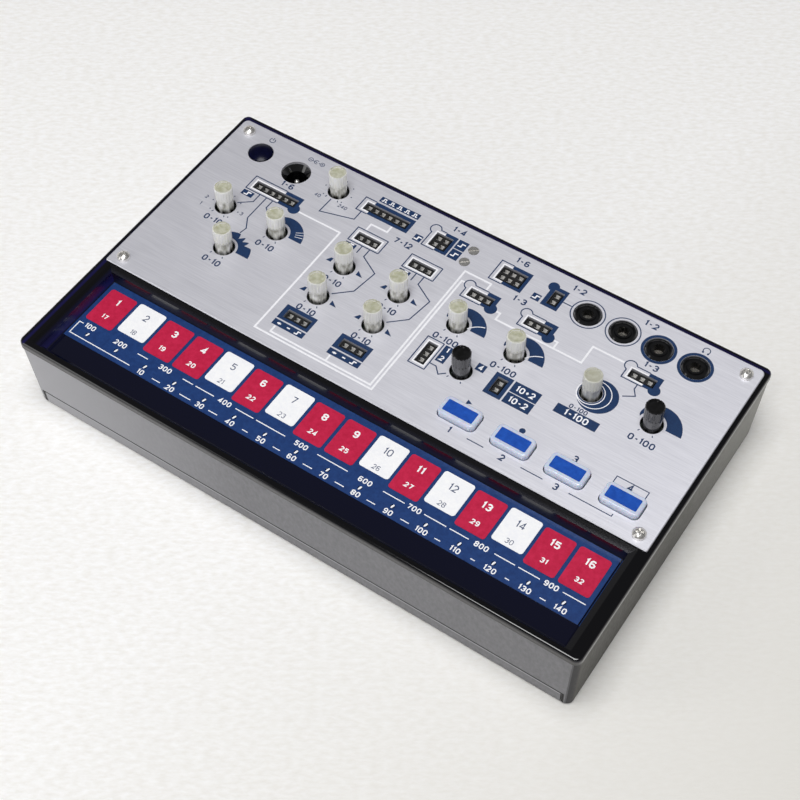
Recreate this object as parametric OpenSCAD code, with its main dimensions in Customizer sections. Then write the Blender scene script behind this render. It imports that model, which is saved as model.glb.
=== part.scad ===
// Pocket analogue synthesizer with patch sockets: a moulded cover over a drafted
// tray, a metal control panel, a recessed touch keyboard and a sliding battery door.
// Millimetres, X to the right, Y to the back, Z up, origin under the plan centre.

/* [Body] */
// Width of the cover, left to right
body_w = 193; // [190:0.5:200]
// Depth of the cover, front to back
body_d = 114.3; // [113.8:0.1:120]
// Height from the table to the face of the metal panel
body_h = 30.2; // [29.8:0.1:34]
// Radius of the four upright corners
corner_r = 2.2; // [1.8:0.1:4]
// Radius of the cover's top edge
edge_r = 0.9; // [0.5:0.1:1.2]
// Height of the cover's outer band above the seam
band_h = 2.5; // [2.3:0.1:3]
// How far the rim lies under the panel face
rim_drop = 0.2; // [0:0.05:0.4]

/* [Tray] */
// Side wall thickness
wall_t = 2.2; // [1.8:0.1:2.3]
// Floor thickness
floor_t = 2; // [1.8:0.1:2.6]
// Side walls lean in by this much at the table
draft_x = 1.23; // [0.6:0.05:1.4]
// Front and back walls lean in by this much at the table
draft_y = 1.52; // [0.8:0.05:1.6]
// Step under the cover's band
seam_step = 0.25; // [0.1:0.05:0.4]
// Height of the rubber feet
foot_h = 0.8; // [0.6:0.1:1.6]

/* [Panel] */
// Thickness of the metal panel
panel_t = 1; // [0.8:0.1:1.2]
// Rim left beside the panel at the sides
panel_side = 1.6; // [1.4:0.1:2]
// Rim left behind the panel
panel_back = 2; // [1.6:0.1:2.4]
// Depth of the key deck, from the front of the cover to the panel
key_deck_d = 39.25; // [39.15:0.05:39.45]
// Radius of the panel's two back corners
panel_r = 1.7; // [1.5:0.1:3]
// Chamfer round the panel's face
panel_chamfer = 0.25; // [0.1:0.05:0.4]
// Edge distance of the corner screws from the cover's side
screw_inset = 6; // [5.8:0.05:6.4]
// Head diameter of the corner screws
screw_head_d = 4; // [3.6:0.1:4.4]

/* [Key basin] */
// Depth of the touch strip under the panel face
strip_drop = 4.4; // [4.2:0.1:4.8]
// Width of the front lip
lip_w = 2.1; // [2:0.05:2.4]
// Width of the shallow slope round the basin
slope_w = 1.9; // [1.5:0.1:2]
// Thickness of the basin floor
basin_t = 1.5; // [1.2:0.1:1.8]
// Thickness of the printed touch strip
film_t = 0.2; // [0.15:0.05:0.3]
// Gap between two red keys
red_gap = 1.17; // [0.9:0.01:1.7]
// Gap between two white keys
white_gap = 0.93; // [0.7:0.01:1.5]
// Corner radius of a key
key_r = 0.9; // [0.5:0.1:1.6]

/* [Knobs] */
// Diameter of a knob's grip
knob_d = 5.8; // [5:0.1:6.2]
// Height of a knob above the panel face
knob_h = 8.8; // [8:0.1:11]
// Diameter of the panel hole round a knob
knob_hole_d = 7; // [6.8:0.1:7.6]
// Distance between neighbouring knobs
knob_pitch = 20.1; // [20:0.05:20.2]
// Diameter of the turning stem
stem_d = 3; // [2.6:0.1:3.4]

/* [Patch sockets] */
// Distance from socket to socket
pin_pitch = 2.54; // [2.5:0.01:2.58]
// Width of a single row of sockets
header_w = 2.5; // [2.4:0.05:2.7]
// Side of a square socket hole
socket_hole = 1.65; // [1.5:0.05:1.75]
// Gap in the panel round a block of sockets
socket_gap = 0.45; // [0.3:0.05:0.5]

/* [Jacks and power] */
// Distance between the four cable jacks
jack_pitch = 12.1; // [12:0.05:12.3]
// Bore diameter of a cable jack
jack_bore_d = 3.7; // [3.65:0.05:3.9]
// Outer diameter of a jack's collar
jack_collar_d = 8.7; // [8.2:0.1:9]
// Bore diameter of the power socket
power_bore_d = 6.6; // [6.2:0.1:7]
// Diameter of the power socket's pin
power_pin_d = 1.7; // [1.6:0.1:2.2]

/* [Buttons] */
// Distance between the four push buttons
button_pitch = 17.77; // [17.5:0.01:17.8]
// Width of a push button
button_w = 12.4; // [11.8:0.1:12.8]
// Depth of a push button
button_d = 7.1; // [6.6:0.1:7.3]
// Height of a push button above the panel
button_h = 1.9; // [1.5:0.1:2.6]
// Travel of a push button
button_travel = 0.5; // [0.3:0.05:0.5]
// Diameter of the round power button
power_button_d = 7.8; // [7:0.1:8.2]

/* [Battery bay] */
// Cell diameter
cell_d = 14.2; // [13.5:0.1:14.4]
// Cell length
cell_l = 50.5; // [49.5:0.1:50.6]
// Height of the door's front lip
door_lip_h = 4.85; // [4.2:0.05:6]
// Running gap round the door
door_gap = 0.2; // [0.1:0.05:0.25]

/* [Hidden] */
$fn = 48;
eps = 0.01;
key_count = 16;
white_keys_at = [2, 5, 7, 10, 12, 14];

// Heights, from the table up
floor_z0 = foot_h;
floor_z1 = floor_z0 + floor_t;
panel_z0 = body_h - panel_t;
rim_z = body_h - rim_drop;
deck_z0 = rim_z - band_h;
strip_z = body_h - strip_drop;
basin_z1 = strip_z - film_t;
basin_z0 = basin_z1 - basin_t;
board_t = 1.6;
pot_h = 5.6;
panel_board_z1 = deck_z0 - pot_h - 0.3;
panel_board_z0 = panel_board_z1 - board_t;
link_h = 4.5;
main_board_z1 = panel_board_z0 - link_h;
main_board_z0 = main_board_z1 - board_t;

screw_seat_z = main_board_z0 - 5.3;

// Plan sizes
half_w = body_w / 2;
half_d = body_d / 2;
panel_x = half_w - panel_side;
panel_y1 = half_d - panel_back;
panel_front = -half_d + key_deck_d;
screw_x = half_w - screw_inset;
screw_y1 = half_d - screw_inset - 0.4;
screw_y0 = panel_front + 3.5;
corners = [[-1, screw_y0], [1, screw_y0], [-1, screw_y1], [1, screw_y1]];
main_board_y0 = screw_y0 - 2.5;

// Key basin
basin_x = half_w - 3.9;
basin_back = panel_front - 0.5;
basin_front = -half_d + lip_w;
slope_h = 1;
steep_in = 1.1;
back_foot = basin_back - slope_w - 0.7;
front_foot = basin_front + 2.15;
side_foot = basin_x - slope_w - steep_in;
strip_w = 2 * (side_foot - 0.18);
strip_edge = 0.8;
key_pitch = (strip_w - 2 * strip_edge) / key_count;
strip_y0 = front_foot + 7.6;
strip_y1 = back_foot - 0.15;
red_ys = [strip_y0 + 8.4, strip_y1 - 2.35];
white_ys = [strip_y0 + 10.1, strip_y1 - 2.05];
key_post_pitch = 46.7;
key_post_xs = [-1.5 * key_post_pitch, -0.5 * key_post_pitch, 0.5 * key_post_pitch, 1.5 * key_post_pitch];
key_post_y = strip_y1 - 2.2;
key_board_z0 = basin_z0 - board_t;
led_r = 0.7;
led_y = strip_y0 + 3.7;

// Controls keep their share of the panel: columns from its middle, rows from its front edge
drawn_panel = [94.9, 73.05];
function col(x) = x * panel_x / drawn_panel[0];
function row(y) = panel_front + y * (panel_y1 - panel_front) / drawn_panel[1];
osc_x = col(-67.2);
func_x = col(-31.4);
gate_x = col(9.9);
fx_x = col(55.7);
row_low = row(24.1);
row_main = row(38.1);
row_mid = row(50.9);
row_top = row(63);
tempo_at = [col(-50.9), row_top];
ratio_at = [osc_x - knob_pitch / 2, row_main];
mod_at = [osc_x + knob_pitch / 2, row_main];
fold_at = [osc_x, row_low];
attack_at = [func_x, row_main];
shape_at = [func_x + knob_pitch, row_main];
release_at = [func_x, row_low];
time_at = [func_x + knob_pitch, row_low];
cutoff_a_at = [gate_x, row_main];
cutoff_b_at = [gate_x + knob_pitch, row_main];
utility_at = [gate_x + knob_pitch / 2, row_low];
amount_at = [fx_x, row_main];
volume_at = [fx_x + knob_pitch, row_main];
knob_places = [
    tempo_at, ratio_at, mod_at, fold_at, attack_at, shape_at, release_at, time_at,
    cutoff_a_at, cutoff_b_at, utility_at, amount_at, volume_at
];
knob_r = knob_d / 2;
knob_z0 = deck_z0 + 0.4;
knob_z1 = body_h + knob_h;
stem_z0 = panel_board_z1 + 1.4;

// Patch sockets: centre x, centre y, columns, rows
source_block = [[col(-66.95), row(50.95), 6, 1]];
sequencer_block = [[col(-32.35), row(62.8), 6, 1]];
function_blocks = [
    [func_x, row_mid, 3, 1], [func_x + knob_pitch, row_mid, 3, 1],
    [func_x, row(13.4), 3, 1], [func_x + knob_pitch, row(13.4), 3, 1]
];
top_row_blocks = [
    [col(-12.1), row(62.9), 2, 2], [col(13.75), row(62.9), 3, 2], [col(29.3), row(62.9), 1, 2]
];
gate_blocks = [[gate_x + 0.15, row_mid, 3, 1], [gate_x + knob_pitch + 0.15, row_mid, 3, 1]];
utility_blocks = [[col(7.85), row(24), 1, 3], [col(32), row(25.4), 1, 2]];
space_block = [[col(65.7), row_mid, 3, 1]];
all_blocks = concat(
    source_block, sequencer_block, function_blocks, top_row_blocks,
    gate_blocks, utility_blocks, space_block
);
header_z1 = body_h - 0.3;
socket_z0 = panel_board_z1 + 1;

// Jacks, power socket, buttons
jack_x0 = col(58.65) - 1.5 * jack_pitch;
jack_places = [for (i = [0:3]) [jack_x0 + i * jack_pitch, row_top]];
jack_z1 = body_h + 0.35;
jack_collar_r = jack_collar_d / 2;
jack_body_z1 = deck_z0 - 0.3;
sleeve_r = jack_bore_d / 2 + 0.5;
jack_depth = 14;
jack_throat = 3;
power_at = [col(-67), row(62.2)];
power_body = 11.4;
power_hole_r = 4.85;
power_z0 = main_board_z1 + 1.5;
power_body_z1 = deck_z0 - 0.6;
button_x0 = panel_x - 13.29 - 3 * button_pitch;
button_y = panel_front + 10.45;
button_places = [for (i = [0:3]) [button_x0 + i * button_pitch, button_y]];
button_gap = 0.3;
button_z1 = body_h + button_h;
button_r = 1.7;
power_button_at = [col(-81.8), row(63.1)];
power_button_r = power_button_d / 2;
flange_t = 1.1;
pad_z0 = deck_z0 - flange_t - 0.4;
switch_z1 = pad_z0 - button_travel - 0.1;
ground_places = [[col(-1.6), row(65.5)], [col(-1.6), row(60.1)]];

// Board screws, in places free of controls
standoffs = [
    [col(-84), row(9.9)], [col(-86), row_mid], [col(-44), row(27.9)],
    [col(20), row(45.4)], [col(85), row(23.9)], [col(80), row_mid]
];

// Battery bay
cell_r = cell_d / 2;
bay_y0 = -half_d + 4.15;
row_gap = 0.8;
bay_y1 = bay_y0 + 2 * cell_d + row_gap + 0.4;
contact_t = 0.4;
nub_h = 1;
cell_slack = 0.02;
spring_h = 3.1;
bay_x = (3 * cell_l + 2 * contact_t + spring_h + 0.6) / 2;
cell_z = floor_z1 + 0.1 + cell_r;
bay_z1 = cell_z + cell_r + 0.4;
skin_t = 1.6;
door_x = half_w - 4.3;
door_y1 = bay_y1 + 2.4;
door_z1 = floor_z1 - 0.2;
door_lip_z = floor_z0 + door_lip_h;
door_in = -half_d + 3.05;
tongue_l = 2.5;
tongue_z = door_z1 - 0.7;
grip_pitch = 2.2;

// Speaker and feet
speaker_at = [-50, 16];
speaker_r = 16;
foot_x = half_w - 16.5;
foot_y = half_d - 8.2;
foot_r = 4.5;

// Shared shapes

function ring_depth(z) = (deck_z0 - z) / (deck_z0 - floor_z0);

module plate(w, d, r) {
    square([w - 2 * r, d], center = true);
    square([w, d - 2 * r], center = true);
    for (sx = [-1, 1])
        for (sy = [-1, 1])
            translate([sx * (w / 2 - r), sy * (d / 2 - r)])
                circle(r);
}

// Outline of a wall, its two upper corners rolled over by e
module rolled(w, h, e) {
    translate([-w / 2, 0])
        square([w, h - e]);
    translate([-w / 2 + e, 0])
        square([w - 2 * e, h]);
    for (s = [-1, 1])
        translate([s * (w / 2 - e), h - e])
            circle(e);
}

// A rounded slab whose top edge is rolled over by e
module soft_slab(w, d, r, z0, z1, e) {
    h = z1 - z0;
    translate([0, 0, z0]) {
        for (sx = [-1, 1])
            for (sy = [-1, 1])
                translate([sx * (w / 2 - r), sy * (d / 2 - r), 0])
                    rotate_extrude()
                        intersection() {
                            rolled(2 * r, h, e);
                            square([r, h]);
                        }
        translate([-(w / 2 - r), 0, 0])
            rotate([90, 0, 90])
                linear_extrude(w - 2 * r)
                    rolled(d, h, e);
        translate([0, d / 2 - r, 0])
            rotate([90, 0, 0])
                linear_extrude(d - 2 * r)
                    rolled(w, h, e);
    }
}

// A drafted block with rounded uprights, inset on all sides
module drafted_block(inset, z0, z1) {
    r = max(corner_r - inset, 0.8);
    lean_x = (draft_x - seam_step) * ring_depth(z0);
    lean_y = (draft_y - seam_step) * ring_depth(z0);
    w = body_w - 2 * (seam_step + inset);
    d = body_d - 2 * (seam_step + inset);
    hull() {
        translate([0, 0, z0])
            linear_extrude(0.1)
                plate(w - 2 * lean_x, d - 2 * lean_y, r, $fn = 32);
        translate([0, 0, z1 - 0.1])
            linear_extrude(0.1)
                plate(w, d, r, $fn = 32);
    }
}

module block(x0, x1, y0, y1, z0, z1) {
    translate([x0, y0, z0])
        cube([x1 - x0, y1 - y0, z1 - z0]);
}

module rod(at, r, z0, z1) {
    translate([at[0], at[1], z0])
        cylinder(h = z1 - z0, r = r);
}

function header_len(n) = n * pin_pitch;
function header_depth(n) = header_w + (n - 1) * pin_pitch;
function hole_at(b, i, j) = [
    b[0] + (i - (b[2] - 1) / 2) * pin_pitch,
    b[1] + (j - (b[3] - 1) / 2) * pin_pitch
];

// Length and depth of a block of sockets, whichever way it runs
function block_size(b) = b[2] >= b[3]
    ? [header_len(b[2]), header_depth(b[3])]
    : [header_depth(b[2]), header_len(b[3])];

module socket_windows() {
    for (b = all_blocks)
        translate([b[0], b[1]])
            square(block_size(b) + [2 * socket_gap, 2 * socket_gap], center = true);
}

module button_windows() {
    for (p = button_places)
        translate(p)
            plate(button_w + 2 * button_gap, button_d + 2 * button_gap, button_r + button_gap);
}

// Cover

// The mitred key basin: one long and one cross section, met at the corners
module basin_cut() {
    z_slope = rim_z - slope_h;
    over = rim_z + 1;
    intersection() {
        translate([0, half_d, 0])
            rotate([90, 0, 0])
                linear_extrude(body_d)
                    polygon([
                        [-side_foot, basin_z1], [side_foot, basin_z1],
                        [side_foot + steep_in, z_slope], [basin_x, rim_z],
                        [basin_x, over], [-basin_x, over], [-basin_x, rim_z],
                        [-side_foot - steep_in, z_slope]
                    ]);
        translate([-half_w, 0, 0])
            rotate([90, 0, 90])
                linear_extrude(body_w)
                    polygon([
                        [front_foot, basin_z1], [back_foot, basin_z1],
                        [basin_back - slope_w, z_slope], [basin_back, rim_z],
                        [basin_back, over], [basin_front, over], [basin_front, rim_z],
                        [basin_front + 0.3, z_slope - 0.4], [front_foot - 0.4, z_slope - 1.6]
                    ]);
    }
}

module panel_recess() {
    gap = 0.1;
    x = panel_x + gap;
    y0 = panel_front - gap;
    y1 = panel_y1 - panel_r;
    translate([0, 0, panel_z0])
        linear_extrude(panel_t + 1) {
            translate([-x, y0])
                square([2 * x, y1 - y0]);
            translate([-panel_x + panel_r, y0])
                square([2 * (panel_x - panel_r), panel_y1 + gap - y0]);
            for (s = [-1, 1])
                translate([s * (panel_x - panel_r), y1])
                    circle(panel_r + gap);
        }
}

module locating_lip() {
    gap = seam_step + wall_t + 0.2;
    lip_t = 1.2;
    lip_h = 2;
    translate([0, 0, deck_z0 - lip_h])
        linear_extrude(lip_h + eps)
            difference() {
                plate(body_w - 2 * gap, body_d - 2 * gap, 1);
                plate(body_w - 2 * (gap + lip_t), body_d - 2 * (gap + lip_t), 0.8);
            }
}

module top_cover() {
    color([0.07, 0.09, 0.30, 0.85])
        difference() {
            union() {
                soft_slab(body_w, body_d, corner_r, deck_z0, rim_z, edge_r);
                block(-side_foot - 1.5, side_foot + 1.5, front_foot - 1.5, back_foot + 1.5,
                    basin_z0, deck_z0 + eps);
                locating_lip();
                for (c = corners)
                    rod([c[0] * screw_x, c[1]], 3, main_board_z1, deck_z0 + eps);
                for (p = standoffs)
                    rod(p, 2.2, panel_board_z1, deck_z0 + eps);
                for (p = ground_places)
                    rod(p, 2, deck_z0 - 3.5, deck_z0 + eps);
                for (x = key_post_xs)
                    rod([x, key_post_y], 1, key_board_z0 - 0.4, basin_z0 + eps);
            }
            basin_cut();
            panel_recess();
            for (c = corners)
                rod([c[0] * screw_x, c[1]], 1.02, main_board_z1 - 1, rim_z);
            for (p = standoffs)
                rod(p, 0.82, panel_board_z1 - 1, deck_z0 - 0.6);
            for (p = ground_places)
                rod(p, 0.92, deck_z0 - 4, rim_z);
            for (p = knob_places)
                rod(p, knob_hole_d / 2 + 0.2, deck_z0 - 1, rim_z);
            for (p = jack_places)
                rod(p, jack_collar_r + 0.3, deck_z0 - 1, rim_z);
            rod(power_at, power_hole_r + 0.75, deck_z0 - 3, rim_z);
            rod(power_button_at, power_button_r + 0.3, deck_z0 - 1, rim_z);
            translate([0, 0, deck_z0 - 1])
                linear_extrude(band_h + 1) {
                    socket_windows();
                    button_windows();
                }
            for (i = [1:key_count])
                rod([key_x(i), led_y], led_r + 0.1, basin_z0 - 1, rim_z);
        }
}

// Tray

module speaker_slots() {
    intersection() {
        rod(speaker_at, speaker_r - 3, floor_z0 - 1, floor_z1 + 1);
        for (i = [-3:3])
            block(speaker_at[0] + i * 3.6 - 0.8, speaker_at[0] + i * 3.6 + 0.8,
                speaker_at[1] - speaker_r, speaker_at[1] + speaker_r,
                floor_z0 - 2, floor_z1 + 2);
    }
}

module lower_case() {
    pocket_y = door_y1 + door_gap;
    color([0.45, 0.45, 0.47])
        difference() {
            union() {
                difference() {
                    drafted_block(0, floor_z0, deck_z0);
                    drafted_block(wall_t, floor_z1, deck_z0 + 1);
                }
                intersection() {
                    drafted_block(0.6, floor_z0, deck_z0);
                    union() {
                        block(-bay_x - 1.4, bay_x + 1.4, -half_d, bay_y1 + 1.4,
                            floor_z0, bay_z1 + 1.4);
                        block(-half_w, half_w, -half_d, pocket_y + tongue_l + 1.4,
                            floor_z0, floor_z1 + skin_t);
                        for (c = corners)
                            rod([c[0] * screw_x, c[1]], 4, floor_z0, main_board_z0);
                        rod(speaker_at, speaker_r + 1.8, floor_z0, floor_z1 + 1.6);
                    }
                }
            }
            rod(speaker_at, speaker_r + 0.2, floor_z1, floor_z1 + 3);
            block(-bay_x, bay_x, bay_y0, bay_y1, floor_z0 - 1, bay_z1);
            block(-door_x - door_gap, door_x + door_gap, -half_d, pocket_y,
                floor_z0 - 1, floor_z1);
            block(-door_x - door_gap, door_x + door_gap, -half_d - 1, door_in + door_gap,
                floor_z0 - 1, door_lip_z + door_gap);
            for (x = [-55, 0, 55])
                block(x - 7.2, x + 7.2, pocket_y - 1, pocket_y + tongue_l + 0.2,
                    tongue_z - 0.2, floor_z1);
            speaker_slots();
            for (c = corners) {
                rod([c[0] * screw_x, c[1]], 2.7, floor_z0 - 1, screw_seat_z);
                rod([c[0] * screw_x, c[1]], 1.25, floor_z0, main_board_z0 + 1);
            }
        }
}

module battery_door() {
    color([0.45, 0.45, 0.47])
        intersection() {
            drafted_block(0, floor_z0, deck_z0);
            difference() {
                union() {
                    block(-door_x, door_x, -half_d, door_in, floor_z0, door_lip_z);
                    block(-door_x, door_x, -half_d, door_y1, floor_z0, door_z1);
                    for (x = [-55, 0, 55])
                        block(x - 7, x + 7, door_y1 - 1, door_y1 + tongue_l, tongue_z, door_z1);
                }
                for (i = [0:4])
                    block(-13, 13, bay_y0 + 4 + i * grip_pitch, bay_y0 + 5 + i * grip_pitch,
                        floor_z0 - 1, floor_z0 + 0.5);
            }
        }
}

// Metal panel

// Section of the sheet from edge a to edge b, chamfered round its face
function sheet_profile(a, b) = [
    [a, 0], [b, 0], [b, panel_t - panel_chamfer], [b - panel_chamfer, panel_t],
    [a + panel_chamfer, panel_t], [a, panel_t - panel_chamfer]
];

module sheet_corner(x, y, r) {
    translate([x, y, 0])
        rotate_extrude()
            polygon([
                [0, 0], [r, 0], [r, panel_t - panel_chamfer], [r - panel_chamfer, panel_t],
                [0, panel_t]
            ]);
}

// The sheet before its openings are cut
module panel_sheet() {
    front_r = 0.6;
    y0 = panel_front;
    y1 = panel_y1;
    translate([0, 0, panel_z0]) {
        translate([0, y1 - panel_r, 0])
            rotate([90, 0, 0])
                linear_extrude(y1 - y0 - panel_r - front_r)
                    polygon(sheet_profile(-panel_x, panel_x));
        translate([-panel_x + panel_r, 0, 0])
            rotate([90, 0, 90])
                linear_extrude(2 * (panel_x - panel_r))
                    polygon(sheet_profile(y0, y1));
        translate([-panel_x + front_r, 0, 0])
            rotate([90, 0, 90])
                linear_extrude(2 * (panel_x - front_r))
                    polygon([
                        [y0, 0], [y0 + 4, 0], [y0 + 4, panel_t], [y0 + panel_chamfer, panel_t],
                        [y0, panel_t - panel_chamfer]
                    ]);
        for (s = [-1, 1]) {
            sheet_corner(s * (panel_x - panel_r), y1 - panel_r, panel_r);
            sheet_corner(s * (panel_x - front_r), y0 + front_r, front_r);
        }
    }
}

module front_panel() {
    z0 = panel_z0 - 1;
    z1 = body_h + 1;
    color([0.80, 0.80, 0.83])
        difference() {
            panel_sheet();
            for (c = corners)
                rod([c[0] * screw_x, c[1]], 1.25, z0, z1);
            for (p = ground_places)
                rod(p, 1.76, z0, z1);
            for (p = knob_places)
                rod(p, knob_hole_d / 2, z0, z1);
            for (p = jack_places)
                rod(p, jack_collar_r + 0.12, z0, z1);
            rod(power_at, power_hole_r, z0, z1);
            rod(power_button_at, power_button_r + 0.3, z0, z1);
            translate([0, 0, z0])
                linear_extrude(panel_t + 2) {
                    socket_windows();
                    button_windows();
                }
        }
}

// Pan head over z = 0 with a cross recess, and its shank below
module cross_screw(head_d, head_h, shank_r, shank_l) {
    rise = head_h * 0.45;
    ball = (pow(head_d / 2, 2) + rise * rise) / (2 * rise);
    difference() {
        union() {
            intersection() {
                cylinder(h = head_h + 1, r = head_d / 2);
                translate([0, 0, head_h - ball])
                    sphere(ball);
                translate([0, 0, 2 * head_d])
                    cube(4 * head_d, center = true);
            }
            translate([0, 0, -shank_l])
                cylinder(h = shank_l + eps, r = shank_r);
        }
        for (a = [0, 90])
            rotate([0, 0, a + 20])
                translate([0, 0, head_h])
                    cube([head_d * 0.56, head_d * 0.14, head_h * 0.9], center = true);
    }
}

module panel_screws() {
    color([0.86, 0.86, 0.87])
        for (c = corners)
            translate([c[0] * screw_x, c[1], body_h])
                cross_screw(screw_head_d, 2, 1, 8);
}

module ground_screws() {
    color([0.75, 0.74, 0.70])
        for (p = ground_places)
            difference() {
                union() {
                    rod(p, 1.7, panel_z0, body_h + 0.05);
                    rod(p, 0.9, deck_z0 - 3, panel_z0 + eps);
                }
                translate([p[0], p[1], body_h])
                    rotate([0, 0, 40])
                        cube([4, 0.5, 0.8], center = true);
            }
}

// Touch keyboard

function key_x(i) = (i - (key_count + 1) / 2) * key_pitch;
function is_white(i) = len(search(i, white_keys_at)) > 0;

module touch_strip() {
    color([0.10, 0.20, 0.45])
        difference() {
            block(-strip_w / 2, strip_w / 2, strip_y0, strip_y1, basin_z1, strip_z);
            for (i = [1:key_count])
                rod([key_x(i), led_y], led_r, basin_z1 - 1, strip_z + 1);
        }
}

module key_pad(i, w, ys) {
    translate([key_x(i), (ys[0] + ys[1]) / 2, strip_z])
        linear_extrude(0.12)
            plate(w, ys[1] - ys[0], key_r);
}

module red_keys() {
    color([0.78, 0.13, 0.28])
        for (i = [1:key_count])
            if (!is_white(i))
                key_pad(i, key_pitch - red_gap, red_ys);
}

module white_keys() {
    color([0.93, 0.93, 0.95])
        for (i = white_keys_at)
            key_pad(i, key_pitch - white_gap, white_ys);
}

module key_lights() {
    color([0.95, 0.95, 1.0])
        for (i = [1:key_count])
            rod([key_x(i), led_y], led_r - 0.08, basin_z0, strip_z - 0.05);
}

// Knobs

module knob(at) {
    grip = 4.8;
    dish = 0.35;
    translate([at[0], at[1], 0])
        difference() {
            union() {
                rod([0, 0], stem_d / 2, stem_z0, knob_z0 + 1);
                rod([0, 0], knob_r - 0.18, knob_z0, knob_z1 - grip + eps);
                rod([0, 0], knob_r, knob_z1 - grip, knob_z1 - 0.25);
                translate([0, 0, knob_z1 - 0.25 - eps])
                    cylinder(h = 0.25 + eps, r1 = knob_r, r2 = knob_r - 0.25);
            }
            for (a = [0:20:340])
                rotate([0, 0, a + 10])
                    rod([knob_r + 0.14, 0], 0.26, knob_z1 - grip + 0.4, knob_z1 + 1);
            rod([0, 0], knob_r - 0.75, knob_z1 - dish, knob_z1 + 1);
            block(-0.3, 0.3, 0.3, knob_r + 1, knob_z1 - dish, knob_z1 + 1);
        }
}

module clear_knob(at) {
    color([0.92, 0.93, 0.88])
        knob(at);
}

module smoky_knob(at) {
    color([0.13, 0.13, 0.14])
        knob(at);
}

module tempo_knob() { clear_knob(tempo_at); }
module ratio_knob() { clear_knob(ratio_at); }
module mod_knob() { clear_knob(mod_at); }
module fold_knob() { clear_knob(fold_at); }
module attack_knob() { clear_knob(attack_at); }
module shape_knob() { clear_knob(shape_at); }
module release_knob() { clear_knob(release_at); }
module time_knob() { clear_knob(time_at); }
module cutoff_a_knob() { clear_knob(cutoff_a_at); }
module cutoff_b_knob() { clear_knob(cutoff_b_at); }
module utility_knob() { smoky_knob(utility_at); }
module amount_knob() { clear_knob(amount_at); }
module volume_knob() { smoky_knob(volume_at); }

module pot_bodies() {
    color([0.25, 0.32, 0.28])
        for (p = knob_places)
            difference() {
                block(p[0] - 4.7, p[0] + 4.7, p[1] - 4.7, p[1] + 4.7,
                    panel_board_z1, deck_z0 - 0.3);
                rod(p, stem_d / 2 + 0.05, stem_z0 - 0.2, deck_z0 + 1);
                for (a = [45, 135, 225, 315])
                    translate([p[0], p[1], panel_board_z1 + pot_h])
                        rotate([0, 0, a])
                            translate([6.6, 0, 0])
                                cube([2, 8, 3], center = true);
            }
}

// Patch sockets

module socket_header(blocks) {
    color([0.06, 0.06, 0.07])
        for (b = blocks) {
            s = block_size(b);
            difference() {
                block(b[0] - s[0] / 2, b[0] + s[0] / 2, b[1] - s[1] / 2, b[1] + s[1] / 2,
                    panel_board_z1, header_z1);
                for (i = [0:b[2] - 1])
                    for (j = [0:b[3] - 1]) {
                        c = hole_at(b, i, j);
                        h = socket_hole / 2;
                        block(c[0] - h, c[0] + h, c[1] - h, c[1] + h,
                            socket_z0, header_z1 + 1);
                    }
            }
        }
}

module source_sockets() { socket_header(source_block); }
module sequencer_sockets() { socket_header(sequencer_block); }
module function_sockets() { socket_header(function_blocks); }
module top_row_sockets() { socket_header(top_row_blocks); }
module gate_sockets() { socket_header(gate_blocks); }
module utility_sockets() { socket_header(utility_blocks); }
module space_sockets() { socket_header(space_block); }

// A folded spring contact: two leaves that bow together and flare at the mouth
module contact(at) {
    w = socket_hole - 0.25;
    h = header_z1 - 0.25 - socket_z0;
    s = w / 2;
    t = 0.15;
    n = 0.22;
    translate([at[0] - s, at[1], socket_z0])
        rotate([90, 0, 90])
            linear_extrude(w)
                polygon([
                    [-s, 0], [s, 0], [s, h * 0.5], [n + t, h * 0.82], [s, h],
                    [s - t, h], [n, h * 0.82], [s - t, h * 0.5], [s - t, t],
                    [-s + t, t], [-s + t, h * 0.5], [-n, h * 0.82], [-s + t, h],
                    [-s, h], [-n - t, h * 0.82], [-s, h * 0.5]
                ]);
}

module socket_contacts() {
    color([0.80, 0.80, 0.82])
        for (b = all_blocks)
            for (i = [0:b[2] - 1])
                for (j = [0:b[3] - 1])
                    contact(hole_at(b, i, j));
}

// Jacks and power socket

module cable_jacks() {
    color([0.05, 0.05, 0.06])
        for (p = jack_places)
            difference() {
                union() {
                    block(p[0] - 5.8, p[0] + 5.8, p[1] - 5.3, p[1] + 5.3,
                        main_board_z1, jack_body_z1);
                    translate([p[0], p[1], 0])
                        rotate_extrude()
                            polygon([
                                [0, jack_body_z1 - 1], [jack_collar_r, jack_body_z1 - 1],
                                [jack_collar_r, jack_z1 - 0.5], [jack_collar_r - 0.5, jack_z1],
                                [jack_collar_r - 0.95, jack_z1], [jack_collar_r - 1.25, jack_z1 - 0.5],
                                [sleeve_r + 0.35, jack_z1 - 0.5], [sleeve_r + 0.15, jack_z1 - 0.1],
                                [0, jack_z1 - 0.1]
                            ]);
                }
                rod(p, sleeve_r, jack_z1 - jack_depth - 0.5, jack_z1 - jack_throat);
                rod(p, jack_bore_d / 2, jack_z1 - jack_throat - eps, jack_z1 + 1);
            }
}

module jack_sleeves() {
    color([0.78, 0.78, 0.80])
        for (p = jack_places)
            difference() {
                rod(p, sleeve_r - 0.02, jack_z1 - jack_depth - 0.5, jack_z1 - jack_throat);
                rod(p, jack_bore_d / 2, jack_z1 - 0.1 - jack_depth, jack_z1 + 1);
            }
}

module power_socket() {
    b = power_body / 2;
    color([0.05, 0.05, 0.06])
        difference() {
            union() {
                block(power_at[0] - b, power_at[0] + b, power_at[1] - b, power_at[1] + b,
                    main_board_z1, power_body_z1);
                rod(power_at, power_hole_r + 0.45, power_body_z1 - 1, panel_z0);
            }
            rod(power_at, power_bore_d / 2, power_z0, panel_z0 + 1);
            translate([power_at[0], power_at[1], panel_z0 - 1.8])
                cylinder(h = 1.8 + eps, r1 = power_bore_d / 2, r2 = power_hole_r + eps);
        }
}

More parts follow.
